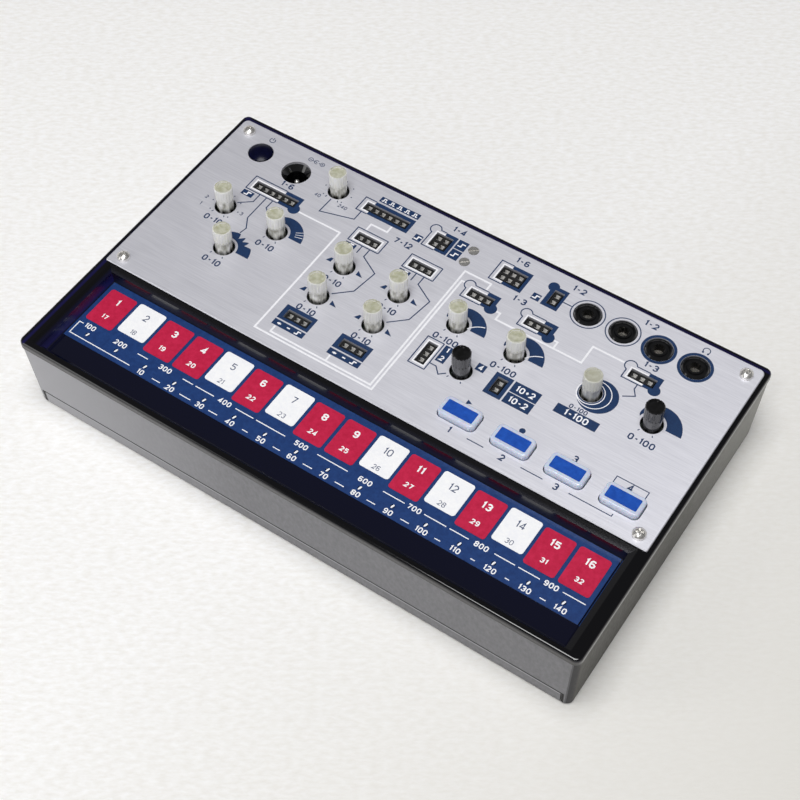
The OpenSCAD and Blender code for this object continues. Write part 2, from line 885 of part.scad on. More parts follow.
module power_pin() {
    color([0.80, 0.79, 0.74])
        union() {
            rod(power_at, power_pin_d / 2, power_z0, body_h - 4.4);
            translate([power_at[0], power_at[1], body_h - 4.4])
                sphere(power_pin_d / 2);
        }
}

// Buttons

module push_button(at) {
    inlay_w = button_w - 2.4;
    inlay_d = button_d - 2.8;
    color([0.90, 0.92, 0.97])
        translate([at[0], at[1], 0])
            difference() {
                union() {
                    soft_slab(button_w, button_d, button_r, deck_z0 - 0.1, button_z1, 0.7);
                    translate([0, 0, deck_z0 - flange_t])
                        linear_extrude(flange_t)
                            plate(button_w + 2.2, button_d + 2.2, button_r + 1);
                    rod([0, 0], 1.6, pad_z0, deck_z0 - flange_t + eps);
                }
                translate([0, 0, button_z1 - 0.3])
                    linear_extrude(1)
                        plate(inlay_w, inlay_d, 0.4);
            }
}

module button_inlay(at) {
    color([0.11, 0.31, 0.68])
        translate([at[0], at[1], button_z1 - 0.3])
            linear_extrude(0.32)
                plate(button_w - 2.45, button_d - 2.85, 0.38);
}

module play_button() { push_button(button_places[0]); }
module record_button() { push_button(button_places[1]); }
module memory_button() { push_button(button_places[2]); }
module function_button() { push_button(button_places[3]); }
module play_inlay() { button_inlay(button_places[0]); }
module record_inlay() { button_inlay(button_places[1]); }
module memory_inlay() { button_inlay(button_places[2]); }
module function_inlay() { button_inlay(button_places[3]); }

module power_button() {
    rise = 0.9;
    top = body_h + 1.1;
    ball = (power_button_r * power_button_r + rise * rise) / (2 * rise);
    color([0.06, 0.06, 0.22])
        union() {
            intersection() {
                rod(power_button_at, power_button_r, deck_z0 - 0.1, top + 1);
                translate([power_button_at[0], power_button_at[1], top - ball])
                    sphere(ball);
            }
            rod(power_button_at, power_button_r + 1.4, deck_z0 - flange_t, deck_z0);
            rod(power_button_at, 1.6, pad_z0, deck_z0 - flange_t + eps);
        }
}

module tact_switches() {
    color([0.20, 0.20, 0.22])
        for (p = concat(button_places, [power_button_at])) {
            block(p[0] - 3, p[0] + 3, p[1] - 3, p[1] + 3, panel_board_z1, switch_z1 - 0.4);
            rod(p, 1.7, switch_z1 - 0.5, switch_z1);
        }
}

// Boards

module main_board() {
    x = half_w - 3.9;
    y1 = half_d - 4.2;
    color([0.08, 0.28, 0.16])
        difference() {
            union() {
                block(-x, x, main_board_y0, y1, main_board_z0, main_board_z1);
                block(-30, -18, 8, 20, main_board_z1 - eps, main_board_z1 + 1.4);
                block(8, 18, 14, 24, main_board_z1 - eps, main_board_z1 + 1.2);
                block(40, 46, 6, 11, main_board_z1 - eps, main_board_z1 + 1.6);
            }
            for (c = corners)
                rod([c[0] * screw_x, c[1]], 1.4, main_board_z0 - 1, main_board_z1 + 1);
        }
}

module panel_board() {
    x = half_w - 8;
    y1 = half_d - 4.2;
    color([0.08, 0.28, 0.16])
        difference() {
            block(-x, x, panel_front + 1.3, y1, panel_board_z0, panel_board_z1);
            block(jack_x0 - 6.4, x + 1, row_top - 6.1, y1 + 1, panel_board_z0 - 1, panel_board_z1 + 1);
            block(power_at[0] - power_body / 2 - 0.6, power_at[0] + power_body / 2 + 0.6,
                power_at[1] - power_body / 2 - 0.6, y1 + 1, panel_board_z0 - 1, panel_board_z1 + 1);
            for (s = [-1, 1])
                for (y = [screw_y0, screw_y1])
                    rod([s * screw_x, y], 3.4, panel_board_z0 - 1, panel_board_z1 + 1);
            for (p = standoffs)
                rod(p, 1, panel_board_z0 - 1, panel_board_z1 + 1);
        }
}

module key_board() {
    color([0.08, 0.28, 0.16])
        difference() {
            block(-strip_w / 2 + 0.5, strip_w / 2 - 0.5, strip_y0 + 0.8, strip_y1 - 0.4,
                key_board_z0, basin_z0);
            for (x = key_post_xs)
                rod([x, key_post_y], 1.1, key_board_z0 - 1, basin_z0 + 1);
        }
}

module board_link() {
    color([0.10, 0.10, 0.11])
        block(-13, 13, row(43.9), row(43.9) + 5, main_board_z1, panel_board_z0);
}

module key_cable() {
    t = 0.3;
    y = main_board_y0 - 0.7;
    color([0.85, 0.83, 0.76])
        translate([-9, 0, 0])
            rotate([90, 0, 90])
                linear_extrude(18)
                    polygon([
                        [strip_y1 - 6, key_board_z0 - t], [y - t, key_board_z0 - t],
                        [y - t, main_board_z1], [y + 6, main_board_z1],
                        [y + 6, main_board_z1 + t], [y, main_board_z1 + t],
                        [y, key_board_z0], [strip_y1 - 6, key_board_z0]
                    ]);
}

module speaker() {
    z = floor_z1;
    color([0.16, 0.16, 0.17])
        translate([speaker_at[0], speaker_at[1], z])
            difference() {
                union() {
                    cylinder(h = 1.4, r = speaker_r);
                    translate([0, 0, 1.4 - eps])
                        cylinder(h = 3, r1 = speaker_r - 2, r2 = 8.4);
                    translate([0, 0, 4.4 - 2 * eps])
                        cylinder(h = 2.6, r = 8.4);
                }
                translate([0, 0, -eps])
                    cylinder(h = 3.4, r1 = speaker_r - 2.6, r2 = 6);
            }
}

// Batteries

row_ys = [bay_y0 + cell_r + 0.2, bay_y1 - cell_r - 0.2];

module turned_row(k) {
    translate([0, row_ys[k], cell_z])
        rotate([0, 0, k * 180])
            children();
}

module battery_cells() {
    start = -bay_x + contact_t + spring_h;
    color([0.72, 0.55, 0.22])
        for (k = [0, 1])
            turned_row(k)
                for (i = [0:2])
                    translate([start + i * cell_l, 0, 0])
                        rotate([0, 90, 0]) {
                            cylinder(h = cell_l - nub_h, r = cell_r);
                            cylinder(h = cell_l - cell_slack, r = 2.7);
                        }
}

module battery_contacts() {
    wire = 0.45;
    turns = 4;
    step = (spring_h - 2 * wire) / (turns - 1);
    color([0.80, 0.80, 0.78])
        for (k = [0, 1])
            turned_row(k) {
                block(bay_x - contact_t, bay_x, -5, 5, -5, 5);
                translate([bay_x - contact_t - 0.6, 0, 0])
                    rotate([0, 90, 0])
                        cylinder(h = 0.6 + eps, r1 = 1.8, r2 = 3);
                block(-bay_x, -bay_x + contact_t, -5, 5, -5, 5);
                for (i = [0:turns - 1])
                    translate([-bay_x + contact_t + wire + i * step - 0.02, 0, 0])
                        rotate([0, 90, 0])
                            rotate_extrude()
                                translate([3.6 - i * 0.35, 0])
                                    circle(wire + 0.02);
            }
}

module foot(at) {
    difference() {
        union() {
            rod(at, foot_r, 0.3, foot_h);
            rod(at, foot_r - 0.3, 0, foot_h);
        }
        for (i = [-1, 0, 1])
            block(at[0] - foot_r, at[0] + foot_r, at[1] + i * 2.4 - 0.3, at[1] + i * 2.4 + 0.3,
                -1, 0.25);
    }
}

module rear_feet() {
    color([0.07, 0.07, 0.07])
        for (s = [-1, 1])
            foot([s * foot_x, foot_y]);
}

module front_feet() {
    color([0.07, 0.07, 0.07])
        for (s = [-1, 1])
            foot([s * foot_x, -foot_y]);
}

module case_screws() {
    color([0.30, 0.30, 0.32])
        for (c = corners)
            translate([c[0] * screw_x, c[1], screw_seat_z])
                rotate([180, 0, 0])
                    cross_screw(4.8, 1.8, 1, main_board_z1 - screw_seat_z + 5);
}

module board_screws() {
    color([0.30, 0.30, 0.32])
        for (p = standoffs)
            translate([p[0], p[1], panel_board_z0])
                rotate([180, 0, 0])
                    cross_screw(3.4, 1.3, 0.8, board_t + 4.2);
}

top_cover();
lower_case();
battery_door();
front_panel();
panel_screws();
ground_screws();
touch_strip();
red_keys();
white_keys();
key_lights();
power_button();
power_socket();
power_pin();
cable_jacks();
jack_sleeves();
tempo_knob();
ratio_knob();
mod_knob();
fold_knob();
attack_knob();
shape_knob();
release_knob();
time_knob();
cutoff_a_knob();
cutoff_b_knob();
utility_knob();
amount_knob();
volume_knob();
pot_bodies();
play_button();
record_button();
memory_button();
function_button();
play_inlay();
record_inlay();
memory_inlay();
function_inlay();
tact_switches();
source_sockets();
sequencer_sockets();
function_sockets();
top_row_sockets();
gate_sockets();
utility_sockets();
space_sockets();
socket_contacts();
main_board();
panel_board();
key_board();
board_link();
key_cable();
speaker();
battery_cells();
battery_contacts();
rear_feet();
front_feet();
case_screws();
board_screws();
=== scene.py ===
"""A pocket modular synthesizer: smoke-blue moulded cover over a grey tray, brushed metal panel,
milky knobs, patch sockets and a recessed touch keyboard. Metres, in the frame of the CAD part."""
import math

import bmesh
import bpy
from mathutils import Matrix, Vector


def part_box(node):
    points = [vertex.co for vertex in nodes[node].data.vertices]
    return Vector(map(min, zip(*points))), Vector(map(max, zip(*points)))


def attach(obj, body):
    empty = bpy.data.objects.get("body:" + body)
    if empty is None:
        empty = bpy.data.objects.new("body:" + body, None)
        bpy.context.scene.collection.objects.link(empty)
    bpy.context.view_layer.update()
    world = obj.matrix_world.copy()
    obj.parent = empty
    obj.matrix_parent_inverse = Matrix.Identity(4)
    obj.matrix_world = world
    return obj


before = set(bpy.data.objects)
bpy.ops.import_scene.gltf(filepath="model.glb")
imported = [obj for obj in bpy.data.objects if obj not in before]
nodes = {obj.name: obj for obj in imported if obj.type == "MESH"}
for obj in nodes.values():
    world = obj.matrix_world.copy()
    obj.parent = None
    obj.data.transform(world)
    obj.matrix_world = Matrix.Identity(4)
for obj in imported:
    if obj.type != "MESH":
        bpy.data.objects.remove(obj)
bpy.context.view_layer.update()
scene = bpy.context.scene
MM = 0.001

# Camera, solved from the corners of the panel in the photograph
view = bpy.data.objects.new("camera", bpy.data.cameras.new("camera"))
view.location = (0.164743, -0.241727, 0.413210)
view.rotation_euler = (0.624529, 0.003413, 0.586375)
view.data.sensor_width = 36.0
view.data.angle = 0.481413
view.data.clip_start = 0.01
scene.collection.objects.link(view)
scene.camera = view


# Materials

def srgb(code):
    """A hex colour as the eye names it, turned to the linear values that light adds up in."""
    parts = [int(code[i:i + 2], 16) / 255 for i in (1, 3, 5)]
    return [c / 12.92 if c <= 0.04045 else ((c + 0.055) / 1.055) ** 2.4 for c in parts] + [1.0]


def add(tree, kind, inputs=(), **settings):
    """One node, with its settings, its values and what is linked into it."""
    node = tree.nodes.new(kind)
    for name, value in settings.items():
        setattr(node, name, value)
    for name, value in dict(inputs).items():
        if isinstance(value, bpy.types.NodeSocket):
            tree.links.new(value, node.inputs[name])
        else:
            node.inputs[name].default_value = value
    return node


def per_mm(size):
    """Noise scale for a pattern whose marks are this many millimetres apart."""
    return 1000.0 / size


def surface(name, **inputs):
    """A new material, its tree and its shader, with the shader's plain values set."""
    mat = bpy.data.materials.new(name)
    mat.use_nodes = True
    tree = mat.node_tree
    tree.nodes.clear()
    shader = add(tree, "ShaderNodeBsdfPrincipled", {k.replace("_", " "): v for k, v in inputs.items()})
    add(tree, "ShaderNodeOutputMaterial", {"Surface": shader.outputs[0]})
    return mat, tree, shader


def ramp(tree, value, start, end, low=0.0, high=1.0):
    """Runs from low to high while a value goes from start to end, and stays level outside them."""
    node = add(tree, "ShaderNodeMapRange",
               {"Value": value, "From Min": start, "From Max": end, "To Min": low, "To Max": high})
    return node.outputs[0]


def math_node(tree, operation, *values):
    """The outcome of one sum on one or two values."""
    return add(tree, "ShaderNodeMath", dict(enumerate(values)), operation=operation).outputs[0]


def times(tree, a, b):
    """The product of two values."""
    return math_node(tree, "MULTIPLY", a, b)


def blend(tree, mask, under, over):
    """One colour laid over another by a mask."""
    return add(tree, "ShaderNodeMix", {0: mask, 6: under, 7: over}, data_type="RGBA").outputs[2]


def spot_and_lean(tree):
    """The point on the piece, and which way its surface faces there, each split into X, Y and Z."""
    place = add(tree, "ShaderNodeTexCoord")
    spot = add(tree, "ShaderNodeSeparateXYZ", {0: place.outputs["Object"]}).outputs
    lean = add(tree, "ShaderNodeSeparateXYZ", {0: place.outputs["Normal"]}).outputs
    return spot, lean


def band(tree, value, low, high, soft):
    """A mask, 1 where a coordinate lies between two marks in millimetres, with a soft edge."""
    return times(tree, ramp(tree, value, (low - soft) * MM, low * MM),
                 ramp(tree, value, (high + soft) * MM, high * MM))


def painted(shader):
    """The colour that a shader already has."""
    return shader.inputs["Base Color"].links[0].from_socket


def vary(tree, shader, low, high, size, stretch=(1, 1, 1), detail=3.0, rough=None, bump=0.0, depth=0.02):
    """Breaks up a colour, and if asked the roughness and relief, with marks of one real size."""
    place = add(tree, "ShaderNodeTexCoord")
    grain = add(tree, "ShaderNodeMapping", {"Vector": place.outputs["Object"], "Scale": stretch})
    noise = add(tree, "ShaderNodeTexNoise",
                {"Vector": grain.outputs[0], "Scale": per_mm(size), "Detail": detail, "Roughness": 0.6})
    spread = (tree, noise.outputs["Fac"], 0.3, 0.7)
    tree.links.new(blend(tree, ramp(*spread), srgb(low), srgb(high)), shader.inputs["Base Color"])
    if rough:
        tree.links.new(ramp(*spread, *rough), shader.inputs["Roughness"])
    if bump:
        relief = add(tree, "ShaderNodeBump",
                     {"Height": noise.outputs["Fac"], "Strength": bump, "Distance": depth * MM})
        tree.links.new(relief.outputs[0], shader.inputs["Normal"])


# Brushed aluminium, clear anodised: a cool silver grey with a fine grain from left to right. The
# real lines are about 0.1 mm apart, drawn at 0.3 mm so that they show.
brushed_aluminium, tree, shader = surface(
    "brushed_aluminium", Metallic=0.55, Roughness=0.5, Anisotropic=0.45)
vary(tree, shader, "#d5d5dd", "#e3e3ea", 0.3, (0.03, 1.0, 1.0), 4.0, (0.46, 0.54), 0.07, 0.01)
grain_way = add(tree, "ShaderNodeTangent", direction_type="RADIAL", axis="X")
tree.links.new(grain_way.outputs[0], shader.inputs["Tangent"])


def by_slope(tree, shader, flat, slope, rear_slope, steep, glow, edge):
    """Colours level faces, slopes and upright walls apart, with a painted glow in the slopes for the light
    that gets into the body there.
    """
    spot, lean = spot_and_lean(tree)
    tilted = ramp(tree, lean["Z"], 0.99, 0.93)
    upright = ramp(tree, lean["Z"], 0.35, 0.12)
    deep = ramp(tree, spot["Z"], 29.6 * MM, 25.8 * MM)
    low = ramp(tree, spot["Z"], 26.4 * MM, 25.7 * MM)
    # painted glow: the slopes down into the basin are painted deep blue
    tone = blend(tree, times(tree, tilted, deep), srgb(flat), srgb(slope))
    # painted glow: the left slope, which faces the light through the body, is painted violet-blue
    inward = times(tree, ramp(tree, lean["X"], 0.1, 0.3), deep)
    tone = blend(tree, inward, tone, srgb(glow))
    # painted glow: the back slope is painted a little bluer than the front one
    rear = times(tree, ramp(tree, lean["Y"], -0.1, -0.3), deep)
    tone = blend(tree, rear, tone, srgb(rear_slope))
    tone = blend(tree, upright, tone, srgb(steep))
    # painted glow: the floor of the basin takes the deep blue of the slopes
    tone = blend(tree, low, tone, srgb(slope))
    # a painted violet highlight along the inside of the rim, at the left and at the back
    rim = math_node(tree, "MAXIMUM", band(tree, spot["X"], -94.9, -94.3, 0.4),
                    band(tree, spot["Y"], 55.2, 55.7, 0.3))
    tone = blend(tree, times(tree, rim, band(tree, spot["Z"], 29.8, 30.3, 0.1)), tone, srgb(edge))
    tree.links.new(tone, shader.inputs["Base Color"])
    # the left and the back slope are less polished, so the keys blur in them
    satin = math_node(tree, "MAXIMUM", inward, rear)
    tree.links.new(ramp(tree, satin, 0.0, 1.0, 0.1, 0.55), shader.inputs["Roughness"])


# Smoke-blue polycarbonate, moulded and polished: near black, with a painted deep blue glow in its slopes
# and a painted violet glow in the left one, for the light that gets through the body
smoke_blue, tree, shader = surface(
    "smoke_blue_polycarbonate", Roughness=0.08, IOR=1.585, Coat_Weight=0.2, Coat_Roughness=0.04)
by_slope(tree, shader, "#050508", "#05071d", "#0b0c36", "#05050b", "#161266", "#110e3f")

# Smoky grey polycarbonate over a dark inside: a satin mid grey, with painted light that makes it paler to
# the left, painted shade that makes it darker and browner on its right end, and a painted dark reflection
# in its rounded corners
smoke_grey, tree, shader = surface("smoke_grey_case", Roughness=0.4, IOR=1.45, Specular_IOR_Level=0.2)
vary(tree, shader, "#717174", "#86868a", 1.1, (1, 1, 0.5), 5.0, (0.36, 0.46), 0.08, 0.02)
spot, lean = spot_and_lean(tree)
# painted light: the wall is painted paler toward its left end
tone = blend(tree, ramp(tree, spot["X"], -15 * MM, -95 * MM), painted(shader), srgb("#a9a9ad"))
# painted shade: the wall facing +X is painted darker and browner toward its near end
right_wall_shade = blend(tree, ramp(tree, spot["Y"], 0.0, 50 * MM), srgb("#36352d"), srgb("#8a8a85"))
tone = blend(tree, ramp(tree, lean["X"], 0.75, 0.97), tone, right_wall_shade)
# a painted dark reflection down the rounded vertical corners
corner_dark_reflection = math_node(tree, "ABSOLUTE", times(tree, lean["X"], lean["Y"]))
tone = blend(tree, ramp(tree, corner_dark_reflection, 0.1, 0.4, 0.0, 0.9), tone, srgb("#232326"))
# the parting line over the battery door: painted shade in the gap, a painted highlight on the pale edge
# under it, painted shade in a notch at each end
front = ramp(tree, spot["Y"], -51 * MM, -53 * MM)
across = math_node(tree, "ABSOLUTE", spot["X"])
for x0, x1, z0, z1, shade in ((0, 92.9, 5.75, 6.3, "#0c0c0e"), (0, 92.0, 5.1, 5.5, "#acacb0"),
                              (92.5, 93.2, 0.0, 6.3, "#0c0c0e")):
    mark = times(tree, band(tree, across, x0, x1, 0.1), band(tree, spot["Z"], z0, z1, 0.08))
    tone = blend(tree, times(tree, mark, front), tone, srgb(shade))
tree.links.new(tone, shader.inputs["Base Color"])

# Nickel plated steel, turned and polished
nickel, tree, shader = surface("nickel_plated_steel", Metallic=0.85, Roughness=0.25)
vary(tree, shader, "#e0deda", "#eceae7", 0.4, rough=(0.22, 0.3))

# Tin plated spring bronze, stamped
tin, tree, shader = surface("tin_plated_bronze", Metallic=0.55, Roughness=0.25)
vary(tree, shader, "#e8e5df", "#ffffff", 0.5, rough=(0.2, 0.35))

# Polyester film, screen printed on its back: satin navy with a faint mottle
film_navy, tree, shader = surface(
    "printed_film_navy", Roughness=0.35, Specular_IOR_Level=0.35, Coat_Weight=0.15, Coat_Roughness=0.12)
vary(tree, shader, "#173469", "#1f4079", 1.2, bump=0.05)

# The same film where red ink backs it
film_red, tree, shader = surface(
    "printed_film_crimson", Roughness=0.35, Specular_IOR_Level=0.3, Coat_Weight=0.15, Coat_Roughness=0.1)
vary(tree, shader, "#b81a40", "#ca254d", 1.4, bump=0.05)

# The same film where white ink backs it
film_white, tree, shader = surface(
    "printed_film_white", Roughness=0.35, Specular_IOR_Level=0.3, Coat_Weight=0.15, Coat_Roughness=0.1)
vary(tree, shader, "#f6f7fb", "#ffffff", 1.4, bump=0.05)

# The same film where grey ink backs it: the thin figures on the white keys
film_slate, tree, shader = surface(
    "printed_film_slate", Roughness=0.3, Coat_Weight=0.4, Coat_Roughness=0.12)
vary(tree, shader, "#4c5672", "#5a6480", 1.4)

# Screen ink on metal, cured: flat navy, a little uneven at the edges of the mesh
ink_navy, tree, shader = surface("screen_ink_navy", Roughness=0.45)
vary(tree, shader, "#0d2a52", "#123661", 0.5, bump=0.1, depth=0.01)

# The same ink in white
ink_white, tree, shader = surface("screen_ink_white", Roughness=0.5)
vary(tree, shader, "#eeeef3", "#fbfbff", 0.5)

# ABS moulded gloss black: the collars of the jacks and the power socket
gloss_black, tree, shader = surface(
    "gloss_black_abs", Roughness=0.12, Coat_Weight=1.0, Coat_Roughness=0.05)
vary(tree, shader, "#070708", "#101113", 1.5)

# Glass-filled nylon, moulded: dull black socket housings
nylon_black, tree, shader = surface("moulded_nylon_black", Roughness=0.5)
vary(tree, shader, "#0d0d0e", "#1a1a1b", 0.6, bump=0.2, depth=0.02)

# ABS moulded white with a cool cast, soft gloss
white_abs, tree, shader = surface(
    "white_abs", Roughness=0.24, Subsurface_Weight=0.2, Subsurface_Scale=0.001,
    Coat_Weight=0.3, Coat_Roughness=0.1)
vary(tree, shader, "#c3cbe0", "#d2d9ea", 1.5)

# Dyed acrylic inset
blue_acrylic, tree, shader = surface(
    "blue_acrylic", Roughness=0.18, Coat_Weight=0.6, Coat_Roughness=0.06)
vary(tree, shader, "#1a4aa6", "#2359bd", 2.0)

# ABS moulded midnight blue, near black, with a soft shine
midnight, tree, shader = surface("midnight_blue_abs", Roughness=0.22, Specular_IOR_Level=0.2)
vary(tree, shader, "#03041d", "#050726", 1.5)


def cloud(tree, shader, foot, waist, grip, dish, glint):
    """Knob acrylic: painted shade by the panel with painted glints, clear at the waist with painted light
    and dark streaks, cloudy in the grip, tinted in the dished top."""
    spot, lean = spot_and_lean(tree)
    place = add(tree, "ShaderNodeTexCoord")
    drawn = add(tree, "ShaderNodeMapping", {"Vector": place.outputs["Object"], "Scale": (1, 1, 0.35)})
    streak = add(tree, "ShaderNodeTexNoise",
                 {"Vector": drawn.outputs[0], "Scale": per_mm(1.3), "Detail": 2.0})
    # painted streaks of light and dark down the knob, whose light parts also make the painted glints at its
    # foot
    bright = ramp(tree, streak.outputs["Fac"], 0.38, 0.7)
    low = blend(tree, bright, srgb(foot), srgb(glint))
    clear = blend(tree, bright, srgb(waist), srgb(grip))
    # painted shade with painted glints near the panel, under the clear waist
    tone = blend(tree, ramp(tree, spot["Z"], 30.2 * MM, 31.6 * MM), low, clear)
    tone = blend(tree, ramp(tree, spot["Z"], 33.6 * MM, 35.0 * MM), tone, srgb(grip))
    level = ramp(tree, lean["Z"], 0.6, 0.95)
    swirl = add(tree, "ShaderNodeTexNoise",
                {"Vector": place.outputs["Object"], "Scale": per_mm(1.6), "Detail": 3.0})
    thick = ramp(tree, swirl.outputs["Fac"], 0.35, 0.6, 0.6, 1.0)
    tone = blend(tree, times(tree, level, thick), tone, srgb(dish))
    tree.links.new(tone, shader.inputs["Base Color"])


# Milky acrylic, turned and polished: white in the grip, clearing to grey near the panel, with painted shade
# and painted glints at its foot
milky_acrylic, tree, shader = surface(
    "milky_acrylic", Roughness=0.2, IOR=1.49, Transmission_Weight=0.12, Subsurface_Weight=0.85,
    Subsurface_Radius=(1.0, 1.0, 0.9), Subsurface_Scale=0.003, Coat_Weight=0.5, Coat_Roughness=0.06)
cloud(tree, shader, "#1f1f1b", "#a9a89c", "#faf9f2", "#bdbda4", "#e9e9e6")

# Frosted acrylic, the same knob with a warmer cloud in it
frosted_acrylic, tree, shader = surface(
    "frosted_acrylic", Roughness=0.35, IOR=1.49, Transmission_Weight=0.12, Subsurface_Weight=0.8,
    Subsurface_Radius=(1.0, 1.0, 0.9), Subsurface_Scale=0.002, Coat_Weight=0.3, Coat_Roughness=0.15)
cloud(tree, shader, "#24241f", "#a9abae", "#dcdcd5", "#bcbba8", "#d8d8d4")

# Smoky acrylic knob: black on top, painted a lighter smoky grey down its side for the light that gets in,
# with painted shade and glints at its foot
smoky_acrylic, tree, shader = surface(
    "smoky_acrylic", Roughness=0.2, Coat_Weight=0.6, Coat_Roughness=0.06)
cloud(tree, shader, "#0a0a0b", "#3c3d40", "#1f1f21", "#040404", "#6a6b6e")

# Smoked window over each key light, dark round the painted white highlight laid on it
light_window, tree, shader = surface("smoked_light_window", Roughness=0.2, Coat_Weight=0.4)
vary(tree, shader, "#0c1730", "#12224a", 0.6)

# Solder mask over woven glass board
board_green, tree, shader = surface("solder_mask_green", Roughness=0.35, Coat_Weight=0.4)
vary(tree, shader, "#0c3a20", "#145030", 0.8, bump=0.1)

# Moulded control bodies, cell wrap, ribbon, rubber and blackened screws, all inside or underneath
pot_green, tree, shader = surface("moulded_control_body", Roughness=0.5)
vary(tree, shader, "#1b231f", "#29332d", 0.9)
cell_wrap, tree, shader = surface("printed_cell_wrap", Roughness=0.3, Metallic=0.4)
vary(tree, shader, "#a9772c", "#c28f3f", 3.0)
ribbon, tree, shader = surface("ribbon_cable", Roughness=0.5)
vary(tree, shader, "#c8c0ac", "#ded8c8", 1.27, (1, 0.02, 0.02))
rubber, tree, shader = surface("moulded_rubber", Roughness=0.8)
vary(tree, shader, "#0e0e0e", "#1c1c1c", 0.5, bump=0.3, depth=0.03)
black_steel, tree, shader = surface("blackened_steel", Metallic=0.9, Roughness=0.4)
vary(tree, shader, "#2a2a2c", "#3c3c3f", 0.5)

# Middles of the knobs on the panel, in millimetres
KNOB_AT = {
    "ratio": (-77.25, 20.2), "mod": (-57.15, 20.2), "fold": (-67.2, 6.2),
    "attack": (-31.4, 20.2), "shape": (-11.3, 20.2), "release": (-31.4, 6.2), "time": (-11.3, 6.2),
    "cutoff_a": (9.9, 20.2), "cutoff_b": (30.0, 20.2), "volume": (75.8, 20.2),
    "utility": (19.95, 6.2), "tempo": (-50.9, 45.1), "amount": (55.7, 20.2),
}
BUTTONS = ("play", "record", "memory", "function")
FINISHES = {
    smoke_blue: ["top_cover"],
    smoke_grey: ["lower_case", "battery_door"],
    brushed_aluminium: ["front_panel"],
    nickel: ["panel_screws", "ground_screws", "power_pin", "jack_sleeves", "battery_contacts"],
    tin: ["socket_contacts"],
    film_navy: ["touch_strip"],
    film_red: ["red_keys"],
    film_white: ["white_keys"],
    light_window: ["key_lights"],
    midnight: ["power_button"],
    gloss_black: ["cable_jacks", "power_socket"],
    nylon_black: ["source_sockets", "sequencer_sockets", "function_sockets", "top_row_sockets",
                  "gate_sockets", "utility_sockets", "space_sockets", "tact_switches",
                  "board_link", "speaker"],
    milky_acrylic: [name + "_knob" for name in KNOB_AT if name not in ("amount", "utility", "volume")],
    frosted_acrylic: ["amount_knob"],
    smoky_acrylic: ["utility_knob", "volume_knob"],
    white_abs: [name + "_button" for name in BUTTONS],
    blue_acrylic: [name + "_inlay" for name in BUTTONS],
    board_green: ["main_board", "panel_board", "key_board"],
    pot_green: ["pot_bodies"],
    cell_wrap: ["battery_cells"],
    ribbon: ["key_cable"],
    rubber: ["rear_feet", "front_feet"],
    black_steel: ["case_screws", "board_screws"],
}
for mat, names in FINISHES.items():
    for name in names:
        nodes[name].data.materials.clear()
        nodes[name].data.materials.append(mat)


# Screen print

def clip(points, axis, bound, keep_above):
    """The part of a convex outline on one side of a line along X or Y."""
    sign = 1 if keep_above else -1
    out = []
    for a, b in zip(points, points[1:] + points[:1]):
        da, db = sign * (a[axis] - bound), sign * (b[axis] - bound)
        if da >= 0:
            out.append(a)
        if da * db < 0:
            t = da / (da - db)
            out.append((a[0] + t * (b[0] - a[0]), a[1] + t * (b[1] - a[1])))
    return out


def clear_of(points, window):
    """What is left of a convex outline outside a window, as convex outlines."""
    x0, x1, y0, y1 = window
    middle = clip(clip(points, 0, x0, True), 0, x1, False)
    parts = [clip(points, 0, x0, False), clip(points, 0, x1, True)]
    if middle:
        parts += [clip(middle, 1, y0, False), clip(middle, 1, y1, True)]
    return [p for p in parts if len(p) > 2]


def box(x0, x1, y0, y1):
    """The four corners of an upright rectangle."""
    return [(x0, y0), (x1, y0), (x1, y1), (x0, y1)]


def polar(x, y, r, turn):
    """The point at a distance from another and at a turn in degrees, anticlockwise from +X."""
    return x + r * math.cos(math.radians(turn)), y + r * math.sin(math.radians(turn))


def around(x, y, r, start=0.0, end=360.0, steps=40):
    """Points on an arc, in degrees anticlockwise from +X."""
    count = steps if end - start == 360 else steps + 1
    return [polar(x, y, r, start + (end - start) * i / steps) for i in range(count)]


# Plain figures as strokes across a box one unit wide and high, their corners cut off
FIGURES = {
    "0": [[(0, 0.2), (0, 0.8), (0.3, 1), (0.7, 1), (1, 0.8), (1, 0.2), (0.7, 0), (0.3, 0), (0, 0.2)]],
    "1": [[(0, 0.82), (0.9, 1), (0.9, 0)]],
    "2": [[(0, 0.8), (0.3, 1), (0.7, 1), (1, 0.8), (1, 0.6), (0, 0.02), (1, 0.02)]],
    "3": [[(0, 0.85), (0.3, 1), (0.7, 1), (1, 0.82), (1, 0.65), (0.6, 0.52), (1, 0.4), (1, 0.2),
           (0.7, 0), (0.3, 0), (0, 0.15)]],
    "4": [[(0.75, 0), (0.75, 1), (0, 0.25), (1.1, 0.25)]],
    "5": [[(1, 0.98), (0.05, 0.98), (0.05, 0.58), (0.7, 0.6), (1, 0.42), (1, 0.2), (0.7, 0), (0.3, 0),
           (0, 0.15)]],
    "6": [[(0.95, 0.88), (0.7, 1), (0.3, 1), (0, 0.8), (0, 0.2), (0.3, 0), (0.7, 0), (1, 0.2), (1, 0.4),
           (0.7, 0.56), (0.1, 0.52)]],
    "7": [[(0, 0.98), (1, 0.98), (0.4, 0)]],
    "8": [[(0.3, 0.53), (0, 0.68), (0, 0.84), (0.3, 1), (0.7, 1), (1, 0.84), (1, 0.68), (0.7, 0.53),
           (0.3, 0.53)],
          [(0.3, 0.53), (0, 0.36), (0, 0.18), (0.3, 0), (0.7, 0), (1, 0.18), (1, 0.36), (0.7, 0.53),
           (0.3, 0.53)]],
    "9": [[(0.05, 0.12), (0.3, 0), (0.7, 0), (1, 0.2), (1, 0.8), (0.7, 1), (0.3, 1), (0, 0.8), (0, 0.6),
           (0.3, 0.44), (0.9, 0.48)]],
    "-": [[(0.1, 0.5), (0.9, 0.5)]],
    "+": [[(0, 0.5), (1, 0.5)], [(0.5, 0.24), (0.5, 0.76)]],
}


# How much higher each outline of a print ends than the last, and after how many it starts again
HAIR, HAIR_STEPS = 0.001, 13


